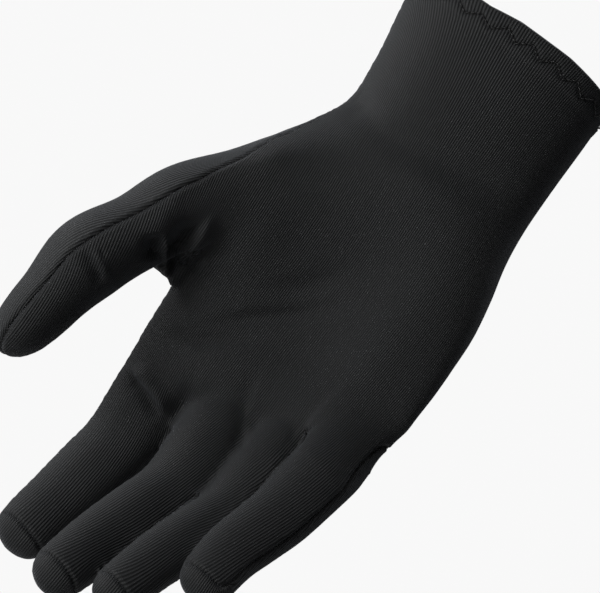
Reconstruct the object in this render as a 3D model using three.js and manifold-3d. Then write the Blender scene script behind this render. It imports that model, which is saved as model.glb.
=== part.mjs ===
// A thin stretch glove liner for a right hand, as it sits on a relaxed hand that hangs down.
// Millimetres. The origin is the middle of the cuff's opening, the fingers point to -Z,
// the palm faces -Y and the thumb lies to -X.
// Two cut and sewn panels make the glove: one for the palm and the fronts of the fingers,
// one for the back of the hand that also wraps over the fingertips. A turned hem ends the cuff.
import * as THREE from "three";
import Module from "manifold-3d";

const wasm = await Module();
wasm.setup();

// Driving sizes of the cloth and its seams
const clothWall = 1.2;
const seamGap = 0.3; // left between the panels where the stitches pull them together
const hemDepth = 9; // how far the cuff's edge is turned in
const hemLip = 1.3; // the folded edge that shows at the opening
const cutterReach = 5; // how far the shapes that open the cuff stand clear of the cloth
const tipSeam = 0.932; // share of a finger's length beyond which the back panel wraps over it

// Driving sizes of the hand part
const cuffLength = 52; // from the hem to the narrowest part of the wrist
const cuffWidth = 79;
const cuffThickness = 50;
const wristWidth = 73;
const wristThickness = 46;
const palmLength = 112; // from the wrist to the webs between the fingers
const palmWidth = 90;
const palmThickness = 36;

// Driving sizes of the fingers
const fingerLength = 102; // the middle finger's, from its knuckle
const fingerWidth = 20.5;
const fingerThickness = 18;
const thumbLength = 142; // from the heel of the hand
const thumbWidth = 26;
const thumbThickness = 23;

// How finely the skins are made
const limbSides = 14;
const palmSides = 24;
const limbSteps = 12;
const quarterTurn = Math.PI / 2;

// Sections of the cuff: along is the share of its length. Left and right are shares of a width,
// front and back of a thickness, which both run from the cuff's to the wrist's.
const cuffSections = [
  { along: 0.0, left: 0.5, right: 0.505, front: 0.5, back: 0.5 },
  { along: 0.3, left: 0.472, right: 0.525, front: 0.5, back: 0.5 },
  { along: 0.65, left: 0.435, right: 0.546, front: 0.5, back: 0.5 },
];

// Sections of the palm: along is the share of its length, left and right of its width, front
// and back of its thickness.
const palmSections = [
  { along: 0.0, left: 0.353, right: 0.469, front: 0.64, back: 0.64 },
  { along: 0.1, left: 0.41, right: 0.487, front: 0.66, back: 0.6 },
  { along: 0.22, left: 0.492, right: 0.523, front: 0.67, back: 0.55 },
  { along: 0.35, left: 0.52, right: 0.552, front: 0.64, back: 0.51 },
  { along: 0.48, left: 0.48, right: 0.562, front: 0.58, back: 0.48 },
  { along: 0.6, left: 0.445, right: 0.568, front: 0.52, back: 0.46 },
  { along: 0.7, left: 0.438, right: 0.568, front: 0.47, back: 0.45 },
  { along: 0.79, left: 0.428, right: 0.574, front: 0.45, back: 0.41 },
  { along: 0.87, left: 0.415, right: 0.572, front: 0.4, back: 0.37 },
  { along: 0.94, left: 0.38, right: 0.53, front: 0.31, back: 0.3 },
  { along: 0.985, left: 0.3, right: 0.45, front: 0.15, back: 0.17 },
];

// The palm's relief: hollow is how deep its middle dips, thenar and arch how far the thumb's and
// the little finger's sides come forward, all as shares of its thickness. Slant is a section's
// lean in degrees, and seam how far in front of the thumb's side the seam lies, as a share of
// a quarter turn.
const palmRelief = [
  { along: 0.0, hollow: 0, thenar: 0, arch: 0, slant: 0, seam: 0 },
  { along: 0.1, hollow: 0, thenar: 0.05, arch: 0.03, slant: 1, seam: 0.15 },
  { along: 0.22, hollow: 0.06, thenar: 0.16, arch: 0.08, slant: 2, seam: 0.2 },
  { along: 0.35, hollow: 0.12, thenar: 0.26, arch: 0.15, slant: 3, seam: 0.1 },
  { along: 0.48, hollow: 0.14, thenar: 0.24, arch: 0.22, slant: 5, seam: 0 },
  { along: 0.6, hollow: 0.12, thenar: 0.12, arch: 0.28, slant: 7, seam: 0 },
  { along: 0.7, hollow: 0.08, thenar: 0.04, arch: 0.33, slant: 9, seam: 0 },
  { along: 0.79, hollow: 0.04, thenar: 0, arch: 0.36, slant: 11, seam: 0 },
  { along: 0.87, hollow: 0, thenar: 0, arch: 0.38, slant: 13, seam: 0 },
  { along: 0.985, hollow: 0, thenar: 0, arch: 0.36, slant: 15, seam: 0 },
];

// The fingers, as shares of the driving sizes. The root is a share of the palm's width, length
// and thickness from the wrist's middle; bones are shares of the finger's own length. Lean and
// bend are the bones' angles in degrees, to the side and towards the front. Seams are how far
// in front of each side the seam lies, as a share of a quarter turn.
const fingers = [
  {
    name: "index", length: 0.93, width: 1.16, thickness: 1.06, bones: [0.465, 0.29, 0.245],
    root: { across: -0.263, along: 0.815, forward: -0.05 },
    lean: [3.6, -7.9, -9.5], bend: [4, 14, 22], seamLeft: 0, seamRight: 0,
  },
  {
    name: "middle", length: 1.0, width: 1.04, thickness: 1.0, bones: [0.44, 0.295, 0.265],
    root: { across: 0.021, along: 0.84, forward: 0.06 },
    lean: [-0.3, -17.5, -14], bend: [15, 26, 34], seamLeft: 0, seamRight: 0,
  },
  {
    name: "ring", length: 0.99, width: 0.94, thickness: 0.95, bones: [0.45, 0.29, 0.26],
    root: { across: 0.245, along: 0.805, forward: 0.11 },
    lean: [-2.5, -19.5, -16], bend: [21.4, 28, 32], seamLeft: 0, seamRight: 0,
  },
  {
    name: "little", length: 0.865, width: 1.02, thickness: 0.95, bones: [0.495, 0.267, 0.238],
    root: { across: 0.446, along: 0.733, forward: 0.31 },
    lean: [-8.9, -16, -6.5], bend: [25, 26.6, 31.7], seamLeft: 0, seamRight: 0.5,
  },
];

// The thumb starts in the heel of the hand. Turn rolls its pad towards the fingers, in degrees.
const thumb = {
  name: "thumb", length: 1, width: 1, thickness: 1, bones: [0.445, 0.255, 0.291],
  root: { across: -0.2, along: 0.09, forward: 0.1 },
  lean: [-32.6, -21.6, -4.8], bend: [13.6, 9.8, 8.2], turn: -45, seamLeft: 0.3, seamRight: 0,
};

// A finger's form along its length: width and thickness as shares of its own, and how much of
// its turn and of its seams' places has set in.
const fingerForm = [
  { along: 0.0, width: 0.8, thickness: 0.7, rolled: 1 },
  { along: 0.08, width: 1.08, thickness: 0.98, rolled: 1 },
  { along: 0.25, width: 1.1, thickness: 1.08, rolled: 1 },
  { along: 0.42, width: 1.04, thickness: 1.03, rolled: 1 },
  { along: 0.55, width: 1.0, thickness: 0.98, rolled: 1 },
  { along: 0.72, width: 0.94, thickness: 0.92, rolled: 1 },
  { along: 0.84, width: 0.89, thickness: 0.86, rolled: 1 },
  { along: 0.9, width: 0.85, thickness: 0.81, rolled: 1 },
  { along: 0.945, width: 0.76, thickness: 0.71, rolled: 1 },
  { along: 0.98, width: 0.54, thickness: 0.5, rolled: 1 },
  { along: 1.0, width: 0.2, thickness: 0.2, rolled: 1 },
];
const thumbForm = [
  { along: 0.0, width: 0.5, thickness: 0.6, rolled: 0 },
  { along: 0.08, width: 0.95, thickness: 1.1, rolled: 0.1 },
  { along: 0.18, width: 1.03, thickness: 1.25, rolled: 0.3 },
  { along: 0.32, width: 0.96, thickness: 1.1, rolled: 0.7 },
  { along: 0.46, width: 1.05, thickness: 1.12, rolled: 1 },
  { along: 0.58, width: 0.98, thickness: 1.02, rolled: 1 },
  { along: 0.72, width: 1.06, thickness: 1.08, rolled: 1 },
  { along: 0.82, width: 0.88, thickness: 0.9, rolled: 1 },
  { along: 0.9, width: 0.8, thickness: 0.8, rolled: 1 },
  { along: 0.945, width: 0.69, thickness: 0.68, rolled: 1 },
  { along: 0.98, width: 0.46, thickness: 0.44, rolled: 1 },
  { along: 1.0, width: 0.18, thickness: 0.18, rolled: 1 },
];

// The web of cloth between thumb and index, as sections down from the heel of the hand. Its
// places and sizes are shares of the palm's.
const webSections = [
  { along: 0.3, across: -0.31, forward: 0.12, width: 0.3, thickness: 0.6 },
  { along: 0.5, across: -0.42, forward: 0.2, width: 0.32, thickness: 0.44 },
  { along: 0.62, across: -0.475, forward: 0.26, width: 0.26, thickness: 0.34 },
  { along: 0.7, across: -0.495, forward: 0.28, width: 0.2, thickness: 0.26 },
  { along: 0.742, across: -0.475, forward: 0.28, width: 0.18, thickness: 0.2 },
];

const degrees = THREE.MathUtils.degToRad;
const mix = THREE.MathUtils.lerp;

// A column's value where a table's rows pass a share.
function tableAt(rows, share, column) {
  const next = Math.max(1, rows.findIndex((row) => row.along >= share));
  const [a, b] = [rows[next - 1], rows[next]];
  return mix(a[column], b[column], (share - a.along) / (b.along - a.along));
}

// Sections of a limb know how steeply the skin closes there, so that its wall stays even.
function withTaper(sections) {
  const girth = (made) => (made.left + made.right + made.front + made.back) / 4;
  return sections.map((made, i) => {
    const [before, after] = [sections[Math.max(0, i - 1)], sections[Math.min(sections.length - 1, i + 1)]];
    const run = before.centre.distanceTo(after.centre);
    const taper = i === sections.length - 1 ? quarterTurn : Math.atan2(girth(before) - girth(after), run);
    return { ...made, taper };
  });
}

// A point of a section's outline, at an angle from its right side towards its front.
// Grow moves it out of the skin.
function outlinePoint(made, angle, grow) {
  const [c, s] = [Math.cos(angle), Math.sin(angle)];
  const out = grow * Math.cos(made.taper);
  const across = Math.max(0.05, (c > 0 ? made.right : made.left) + out);
  const deep = Math.max(0.05, (s > 0 ? made.front : made.back) + out);
  const dent = made.hollow * Math.max(0, s) ** 4;
  const lift = made.arch * Math.max(0, c) ** 2 + made.thenar * Math.max(0, -c) ** 2 - dent;
  return made.centre
    .clone()
    .addScaledVector(made.tangent, grow * Math.sin(made.taper))
    .addScaledVector(made.side, Math.sign(c) * Math.abs(c) ** made.square * across)
    .addScaledVector(made.facing, Math.sign(s) * Math.abs(s) ** made.square * deep + lift);
}

// A closed solid over rings of points, with its ends filled by fans.
function loft(rings) {
  const count = rings[0].length;
  const points = rings.flat();
  const middle = (ring) =>
    ring.reduce((sum, p) => sum.add(p), new THREE.Vector3()).divideScalar(count);
  const first = points.push(middle(rings[0])) - 1;
  const last = points.push(middle(rings.at(-1))) - 1;
  const faces = [];
  for (let i = 0; i < count; i++) {
    const j = (i + 1) % count;
    const lastRing = (rings.length - 1) * count;
    faces.push(first, j, i);
    faces.push(last, lastRing + i, lastRing + j);
    for (let r = 0; r < rings.length - 1; r++) {
      const [a, b] = [r * count + i, r * count + j];
      faces.push(a, b + count, a + count);
      faces.push(a, b, b + count);
    }
  }
  const made = new wasm.Mesh({
    numProp: 3,
    vertProperties: new Float32Array(points.flatMap((p) => p.toArray())),
    triVerts: new Uint32Array(faces),
  });
  return new wasm.Manifold(made);
}

// The solid inside a limb's skin, grown or shrunk by an amount.
function skin({ sections, sides }, grow) {
  const ring = (made) =>
    Array.from({ length: sides }, (_, i) => outlinePoint(made, (i / sides) * 4 * quarterTurn, grow));
  return loft(sections.map(ring));
}

// The part of a limb behind its side seams. Shift moves those seams forward.
function behindSeams({ sections, sides }, shift) {
  const steps = sides / 2 + 2;
  const ring = (made) => {
    const from = (2 - made.seamLeft) * quarterTurn;
    const to = (4 + made.seamRight) * quarterTurn;
    return Array.from({ length: steps + 1 }, (_, i) => {
      const point = outlinePoint(made, mix(from, to, i / steps), clothWall);
      const atSeam = i === 0 || i === steps;
      return atSeam ? point.addScaledVector(made.facing, shift) : point;
    });
  };
  return loft(sections.map(ring));
}

// The tip of a digit beyond the seam that crosses it. Shift moves that seam up the digit.
function beyondTipSeam({ tip, sides }, shift) {
  const [start, ...rest] = tip;
  const centre = start.centre.clone().addScaledVector(start.tangent, -shift);
  return skin({ sections: [{ ...start, centre, taper: 0 }, ...rest], sides }, clothWall);
}

// Sections of the cuff and palm, from the hem to the webs.
function handSections() {
  const cuff = cuffSections.map((row) => ({
    ...row,
    z: -row.along * cuffLength,
    width: mix(cuffWidth, wristWidth, row.along),
    thickness: mix(cuffThickness, wristThickness, row.along),
    relief: 0,
  }));
  const palm = palmSections.map((row) => ({
    ...row,
    z: -cuffLength - row.along * palmLength,
    width: palmWidth,
    thickness: palmThickness,
    relief: row.along,
  }));
  const sections = [...cuff, ...palm].map((row) => {
    const reliefOf = (column) => tableAt(palmRelief, row.relief, column);
    const slant = degrees(reliefOf("slant"));
    const side = new THREE.Vector3(Math.cos(slant), 0, Math.sin(slant));
    const tangent = new THREE.Vector3(side.z, 0, -side.x);
    return {
      centre: new THREE.Vector3(0, 0, row.z),
      tangent,
      side,
      facing: new THREE.Vector3(0, -1, 0),
      left: row.left * row.width,
      right: row.right * row.width,
      front: row.front * row.thickness,
      back: row.back * row.thickness,
      hollow: reliefOf("hollow") * row.thickness,
      thenar: reliefOf("thenar") * row.thickness,
      arch: reliefOf("arch") * row.thickness,
      square: 0.85,
      seamLeft: reliefOf("seam"),
      seamRight: -0.1,
    };
  });
  return withTaper(sections);
}

// A point of the palm, from shares of its width, length and thickness.
const inPalm = ({ across, along, forward }) =>
  new THREE.Vector3(across * palmWidth, -forward * palmThickness, -cuffLength - along * palmLength);

// A finger or the thumb, along the smooth line through its joints and the bones' middles.
function digitLimb(digit, form, [length, width, thickness]) {
  const line = [inPalm(digit.root)];
  digit.bones.forEach((share, i) => {
    const [lean, bend] = [degrees(digit.lean[i]), degrees(digit.bend[i])];
    const way = new THREE.Vector3(Math.sin(lean), 0, -Math.cos(lean)).multiplyScalar(Math.cos(bend));
    way.y = -Math.sin(bend);
    const bone = share * digit.length * length;
    const from = line.at(-1).clone();
    line.push(from.clone().addScaledVector(way, bone / 2));
    line.push(from.clone().addScaledVector(way, bone));
  });
  const curve = new THREE.CatmullRomCurve3(line, false, "centripetal");
  const sectionAt = (share) => {
    const tangent = curve.getTangentAt(share);
    const rolled = tableAt(form, share, "rolled");
    const side = new THREE.Vector3().crossVectors(tangent, new THREE.Vector3(0, 1, 0)).normalize();
    side.applyAxisAngle(tangent, degrees((digit.turn ?? 0) * rolled));
    const halfWidth = (tableAt(form, share, "width") * digit.width * width) / 2;
    const halfThickness = (tableAt(form, share, "thickness") * digit.thickness * thickness) / 2;
    return {
      centre: curve.getPointAt(share),
      tangent,
      side,
      facing: new THREE.Vector3().crossVectors(tangent, side).normalize(),
      left: halfWidth,
      right: halfWidth,
      front: halfThickness,
      back: halfThickness,
      hollow: 0,
      thenar: 0,
      arch: 0,
      square: 0.92,
      seamLeft: digit.seamLeft * rolled,
      seamRight: digit.seamRight * rolled,
    };
  };
  const shares = Array.from({ length: limbSteps + 1 }, (_, i) =>
    Math.sin((i / limbSteps) * quarterTurn) ** 0.85,
  );
  const beyond = [tipSeam, ...shares.filter((share) => share > tipSeam + 0.01)];
  return {
    sections: withTaper(shares.map(sectionAt)),
    tip: withTaper(beyond.map(sectionAt)),
    sides: limbSides,
  };
}

// Sections of the web between the thumb and the index.
function webLimbSections() {
  const sections = webSections.map((row) => ({
    centre: inPalm(row),
    tangent: new THREE.Vector3(0, 0, -1),
    side: new THREE.Vector3(1, 0, 0),
    facing: new THREE.Vector3(0, -1, 0),
    left: (row.width * palmWidth) / 2,
    right: (row.width * palmWidth) / 2,
    front: (row.thickness * palmThickness) / 2,
    back: (row.thickness * palmThickness) / 2,
    hollow: 0,
    thenar: 0,
    arch: 0,
    square: 1,
    seamLeft: 0,
    seamRight: 0,
  }));
  return withTaper(sections);
}

const fingerSizes = [fingerLength, fingerWidth, fingerThickness];
const thumbSizes = [thumbLength, thumbWidth, thumbThickness];
const hand = { sections: handSections(), sides: palmSides };
const fingerLimbs = fingers.map((finger) => digitLimb(finger, fingerForm, fingerSizes));
const thumbLimb = digitLimb(thumb, thumbForm, thumbSizes);
const web = { sections: webLimbSections(), sides: limbSides };
const limbs = [hand, ...fingerLimbs, thumbLimb, web];

// A straight piece of the cuff from one height to another, grown or shrunk by an amount.
function cuffPiece(from, to, grow) {
  const opening = hand.sections[0];
  const at = (z) => {
    const centre = new THREE.Vector3(0, 0, z);
    const next = hand.sections[1];
    const share = z < 0 ? z / next.centre.z : 0;
    const blend = (key) => mix(opening[key], next[key], share);
    const reach = { left: blend("left"), right: blend("right"), front: blend("front"), back: blend("back") };
    return { ...opening, ...reach, centre, taper: 0 };
  };
  return skin({ sections: [at(from), at(to)], sides: palmSides }, grow);
}

const union = (solids) => solids.reduce((sum, one) => sum.add(one));
// The largest connected body, without the crumbs where skins barely cross.
const mainBody = (solid) => solid.decompose().sort((a, b) => b.volume() - a.volume())[0];
const outside = mainBody(union(limbs.map((limb) => skin(limb, 0))));
const wayIn = cuffPiece(cutterReach, -clothWall, -clothWall);
const insides = union(limbs.map((limb) => skin(limb, -clothWall))).add(wayIn);
const inside = mainBody(insides);
const panels = outside.subtract(inside).subtract(cuffPiece(cutterReach, -hemLip - seamGap, cutterReach));
const backOf = (shift) =>
  union(limbs.map((limb) => behindSeams(limb, shift))).add(
    union(fingerLimbs.map((finger) => beyondTipSeam(finger, shift))),
  );

const back = backOf(-seamGap / 2);
const backAndGap = backOf(seamGap / 2).add(back);

const turnedIn = cuffPiece(-hemLip / 2, -hemDepth, -clothWall - seamGap);
const foldedEdge = cuffPiece(0, -hemLip, 0);
const hemHole = cuffPiece(cutterReach, -hemDepth - cutterReach, -2 * clothWall - seamGap);

// A three.js mesh of a solid, in the cloth's colour.
function mesh(name, solid) {
  const { vertProperties, triVerts } = solid.getMesh();
  const geometry = new THREE.BufferGeometry();
  geometry.setAttribute("position", new THREE.BufferAttribute(vertProperties, 3));
  geometry.setIndex(new THREE.BufferAttribute(triVerts, 1));
  geometry.computeVertexNormals();
  const cloth = new THREE.MeshStandardMaterial({ color: 0x1b1e1f, roughness: 0.85, metalness: 0 });
  const made = new THREE.Mesh(geometry, cloth);
  made.name = name;
  return made;
}

const glove = new THREE.Group();
glove.name = "glove_liner";
glove.add(mesh("palm_panel", mainBody(panels.subtract(backAndGap))));
glove.add(mesh("back_panel", mainBody(panels.intersect(back))));
glove.add(mesh("cuff_hem", foldedEdge.add(turnedIn).subtract(hemHole)));

export default glove;
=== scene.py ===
import math

import bmesh
import bpy
import numpy as np
from mathutils import Matrix, Vector
from mathutils.bvhtree import BVHTree
from mathutils.kdtree import KDTree


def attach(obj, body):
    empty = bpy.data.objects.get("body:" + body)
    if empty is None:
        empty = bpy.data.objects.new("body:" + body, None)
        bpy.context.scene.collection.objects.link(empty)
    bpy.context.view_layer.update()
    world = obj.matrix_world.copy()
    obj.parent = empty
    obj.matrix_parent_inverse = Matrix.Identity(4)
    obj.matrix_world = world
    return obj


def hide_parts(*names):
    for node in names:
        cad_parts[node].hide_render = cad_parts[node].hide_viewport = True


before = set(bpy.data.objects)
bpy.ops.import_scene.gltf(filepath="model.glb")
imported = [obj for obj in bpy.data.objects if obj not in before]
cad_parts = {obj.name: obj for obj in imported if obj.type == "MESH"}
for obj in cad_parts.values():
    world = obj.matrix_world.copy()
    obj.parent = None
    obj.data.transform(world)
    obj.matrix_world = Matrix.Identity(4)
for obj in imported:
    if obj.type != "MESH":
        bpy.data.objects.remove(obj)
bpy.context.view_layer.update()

mm = 0.001

# Camera
# The hand hangs down and leans 38 degrees in the picture, seen from slightly below.
cameraView = {
    "target": (-3.8, 0.0, -112.0),  # mm
    "distance": 800.0,
    "elevation": -7.0,
    "roll": 38.0,
    "lens": 145.45,
    "sensor": 36.0,
}


def placeCamera(view):
    rise, roll = math.radians(view["elevation"]), math.radians(view["roll"])
    ahead = Vector((0, math.cos(rise), -math.sin(rise)))
    level = Vector((1, 0, 0))
    plumb = Vector((0, math.sin(rise), math.cos(rise)))
    right = level * math.cos(roll) + plumb * math.sin(roll)
    up = plumb * math.cos(roll) - level * math.sin(roll)
    place = Vector(view["target"]) - ahead * view["distance"]
    data = bpy.data.cameras.new("camera")
    data.lens = view["lens"]
    data.sensor_width = view["sensor"]
    data.clip_start, data.clip_end = 0.05, 20
    camera = bpy.data.objects.new("camera", data)
    bpy.context.scene.collection.objects.link(camera)
    turned = Matrix((right, up, -ahead)).transposed().to_4x4()
    camera.matrix_world = Matrix.Translation(place * mm) @ turned
    bpy.context.scene.camera = camera
    return {
        "place": np.array(place), "right": np.array(right), "up": np.array(up), "ahead": np.array(ahead),
    }


eye = placeCamera(cameraView)


# Where points (mm) appear, as X and Z of the hand's own plane with the picture's lean taken out.
def apparent(points):
    away = points - eye["place"]
    depth = away @ eye["ahead"]
    scale = cameraView["distance"] / depth
    across, high = (away @ eye["right"]) * scale, (away @ eye["up"]) * scale
    c, s = math.cos(math.radians(cameraView["roll"])), math.sin(math.radians(cameraView["roll"]))
    x, z = across * c - high * s, across * s + high * c
    return np.stack([x + cameraView["target"][0], z + cameraView["target"][2]], 1)


# The form of the hand in the glove
# All lengths in millimetres. Columns of the cuff: along (of its length), left, right (of its
# width), front, back (of its thickness).
cuff = {"length": 52.0, "width": 79.0, "thickness": 50.0, "wristWidth": 73.0, "wristThickness": 46.0}
cuffRows = [
    (0.0, 0.5, 0.505, 0.5, 0.5),
    (0.3, 0.472, 0.525, 0.5, 0.5),
    (0.65, 0.435, 0.546, 0.5, 0.5),
]
# Columns of the palm: along, left, right, front, back, hollow, thenar, arch, slant
palm = {"length": 112.0, "width": 90.0, "thickness": 36.0}
palmRows = [
    (0.0, 0.353, 0.469, 0.64, 0.64, 0, 0, 0, 0),
    (0.1, 0.41, 0.487, 0.66, 0.6, 0, 0.05, 0.03, 1),
    (0.22, 0.492, 0.523, 0.67, 0.55, 0.06, 0.16, 0.08, 2),
    (0.35, 0.52, 0.552, 0.64, 0.51, 0.12, 0.26, 0.15, 3),
    (0.48, 0.48, 0.562, 0.58, 0.48, 0.14, 0.24, 0.22, 5),
    (0.6, 0.445, 0.568, 0.52, 0.46, 0.12, 0.12, 0.28, 7),
    (0.7, 0.438, 0.568, 0.47, 0.45, 0.08, 0.04, 0.33, 9),
    (0.79, 0.428, 0.574, 0.45, 0.41, 0.04, 0, 0.36, 11),
    (0.87, 0.415, 0.572, 0.4, 0.37, 0, 0, 0.38, 13),
    (0.94, 0.38, 0.53, 0.31, 0.3, 0, 0, 0.38, 14),
    (0.985, 0.3, 0.45, 0.15, 0.17, 0, 0, 0.36, 15),
]
fingerSize = {"length": 102.0, "width": 20.5, "thickness": 18.0}
thumbSize = {"length": 142.0, "width": 26.0, "thickness": 23.0}
digits = {
    "index": {
        "scale": (0.93, 1.16, 1.06), "bones": (0.465, 0.29, 0.245), "root": (-0.263, 0.815, -0.05),
        "lean": (3.6, -7.9, -9.5), "bend": (4, 14, 22), "turn": 0, "size": fingerSize,
    },
    "middle": {
        "scale": (1.0, 1.04, 1.0), "bones": (0.44, 0.295, 0.265), "root": (0.021, 0.84, 0.06),
        "lean": (-0.3, -17.5, -14), "bend": (15, 26, 34), "turn": 0, "size": fingerSize,
    },
    "ring": {
        "scale": (0.99, 0.94, 0.95), "bones": (0.45, 0.29, 0.26), "root": (0.245, 0.805, 0.11),
        "lean": (-2.5, -19.5, -16), "bend": (21.4, 28, 32), "turn": 0, "size": fingerSize,
    },
    "little": {
        "scale": (0.865, 1.02, 0.95), "bones": (0.495, 0.267, 0.238), "root": (0.446, 0.733, 0.31),
        "lean": (-8.9, -16, -6.5), "bend": (25, 26.6, 31.7), "turn": 0, "size": fingerSize,
    },
    "thumb": {
        "scale": (1, 1, 1), "bones": (0.445, 0.255, 0.291), "root": (-0.2, 0.09, 0.1),
        "lean": (-32.6, -21.6, -4.8), "bend": (13.6, 9.8, 8.2), "turn": -45, "size": thumbSize,
    },
}
# Columns: along, width, thickness, rolled
fingerForm = [
    (0.0, 0.8, 0.7, 1), (0.08, 1.08, 0.98, 1), (0.25, 1.1, 1.08, 1), (0.42, 1.04, 1.03, 1),
    (0.55, 1.0, 0.98, 1), (0.72, 0.94, 0.92, 1), (0.84, 0.89, 0.86, 1), (0.9, 0.85, 0.81, 1),
    (0.945, 0.76, 0.71, 1), (0.98, 0.54, 0.5, 1), (1.0, 0.2, 0.2, 1),
]
thumbForm = [
    (0.0, 0.5, 0.6, 0), (0.08, 0.95, 1.1, 0.1), (0.18, 1.03, 1.25, 0.3), (0.32, 0.96, 1.1, 0.7),
    (0.46, 1.05, 1.12, 1), (0.58, 0.98, 1.02, 1), (0.72, 1.06, 1.08, 1), (0.82, 0.88, 0.9, 1),
    (0.9, 0.8, 0.8, 1), (0.945, 0.69, 0.68, 1), (0.98, 0.46, 0.44, 1), (1.0, 0.18, 0.18, 1),
]
# Columns of the web between thumb and index: along, across, forward, width, thickness
webRows = [
    (0.3, -0.31, 0.12, 0.3, 0.6), (0.5, -0.42, 0.2, 0.32, 0.44), (0.62, -0.475, 0.26, 0.26, 0.34),
    (0.7, -0.495, 0.28, 0.2, 0.26), (0.742, -0.475, 0.28, 0.18, 0.2),
]
# How square the rings are (1 is round) and how fine the form is (voxel in mm).
formQuality = {
    "digitSides": 40, "digitRings": 56, "digitSquare": 0.92, "palmSides": 88, "palmRings": 84,
    "palmSquare": 0.85, "webSides": 32, "webRings": 24, "voxel": 1.2, "smooth": 6,
}


# A table's columns as smooth curves along its first one.
def smoothTable(rows, at):
    table = np.array(rows, float)
    x, y = table[:, 0], table[:, 1:]
    slope = np.gradient(y, x, axis=0)
    i = np.clip(np.searchsorted(x, at, side="right") - 1, 0, len(x) - 2)
    h = (x[i + 1] - x[i])[:, None]
    t = np.clip((at - x[i])[:, None] / h, 0, 1)
    a, b = y[i], y[i + 1]
    ma, mb = slope[i] * h, slope[i + 1] * h
    return (
        a * (2 * t**3 - 3 * t**2 + 1) + ma * (t**3 - 2 * t**2 + t)
        + b * (3 * t**2 - 2 * t**3) + mb * (t**3 - t**2)
    )


def unit(v):
    return v / np.maximum(np.linalg.norm(v, axis=-1, keepdims=True), 1e-12)


# One ring of points round a limb.
def ringPoints(centre, side, facing, reach, sides, square, lifts=(0, 0, 0)):
    left, right, front, back = reach
    hollow, thenar, arch = lifts
    angle = np.arange(sides) / sides * 2 * math.pi
    c, s = np.cos(angle), np.sin(angle)
    across = np.sign(c) * np.abs(c) ** square * np.where(c > 0, right, left)
    deep = np.sign(s) * np.abs(s) ** square * np.where(s > 0, front, back)
    lift = arch * np.maximum(0, c) ** 2 + thenar * np.maximum(0, -c) ** 2 - hollow * np.maximum(0, s) ** 4
    return centre + across[:, None] * side + (deep + lift)[:, None] * facing


def handRings():
    rows = []
    for along, left, right, front, back in cuffRows:
        wide = cuff["width"] + (cuff["wristWidth"] - cuff["width"]) * along
        thick = cuff["thickness"] + (cuff["wristThickness"] - cuff["thickness"]) * along
        rows.append((
            along * cuff["length"], left * wide, right * wide, front * thick, back * thick, 0, 0, 0, 0,
        ))
    for row in palmRows:
        wide, thick = palm["width"], palm["thickness"]
        rows.append((
            cuff["length"] + row[0] * palm["length"], row[1] * wide, row[2] * wide, row[3] * thick,
            row[4] * thick, row[5] * thick, row[6] * thick, row[7] * thick, row[8],
        ))
    down = np.linspace(0, rows[-1][0], formQuality["palmRings"])
    values = smoothTable(rows, down)
    rings = []
    for depth, v in zip(down, values):
        slant = math.radians(v[7])
        side = np.array([math.cos(slant), 0, math.sin(slant)])
        rings.append(ringPoints(
            np.array([0, 0, -depth]), side, np.array([0, -1, 0]), v[:4],
            formQuality["palmSides"], formQuality["palmSquare"], v[4:7],
        ))
    above = rings[0] + np.array([0, 0, 6.0])  # the cuff is cut open later
    return [above, *rings]


def inPalm(across, along, forward):
    down = -cuff["length"] - along * palm["length"]
    return np.array([across * palm["width"], -forward * palm["thickness"], down])


# The smooth line through a digit's joints and the middles of its bones, as 400 even points.
def digitLine(digit):
    points = [inPalm(*digit["root"])]
    for share, lean, bend in zip(digit["bones"], digit["lean"], digit["bend"]):
        lean, bend = math.radians(lean), math.radians(bend)
        way = np.array([math.sin(lean) * math.cos(bend), -math.sin(bend), -math.cos(lean) * math.cos(bend)])
        bone = share * digit["scale"][0] * digit["size"]["length"]
        start = points[-1]
        points += [start + way * bone / 2, start + way * bone]
    p = np.array(points)
    p = np.vstack([2 * p[0] - p[1], p, 2 * p[-1] - p[-2]])
    knots = np.concatenate([[0], np.cumsum(np.linalg.norm(np.diff(p, axis=0), axis=1) ** 0.5)])
    line = []
    for i in range(1, len(p) - 2):
        t = np.linspace(knots[i], knots[i + 1], 90, endpoint=i == len(p) - 3)[:, None]
        k = knots[i - 1:i + 3]
        a = [
            p[i - 1 + j] * (k[j + 1] - t) / (k[j + 1] - k[j]) + p[i + j] * (t - k[j]) / (k[j + 1] - k[j])
            for j in range(3)
        ]
        b = [
            a[j] * (k[j + 2] - t) / (k[j + 2] - k[j]) + a[j + 1] * (t - k[j]) / (k[j + 2] - k[j])
            for j in range(2)
        ]
        line.append(b[0] * (k[2] - t) / (k[2] - k[1]) + b[1] * (t - k[1]) / (k[2] - k[1]))
    line = np.vstack(line)
    run = np.concatenate([[0], np.cumsum(np.linalg.norm(np.diff(line, axis=0), axis=1))])
    even = np.linspace(0, run[-1], 400)
    return np.stack([np.interp(even, run, line[:, i]) for i in range(3)], 1), run[-1]


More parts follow.
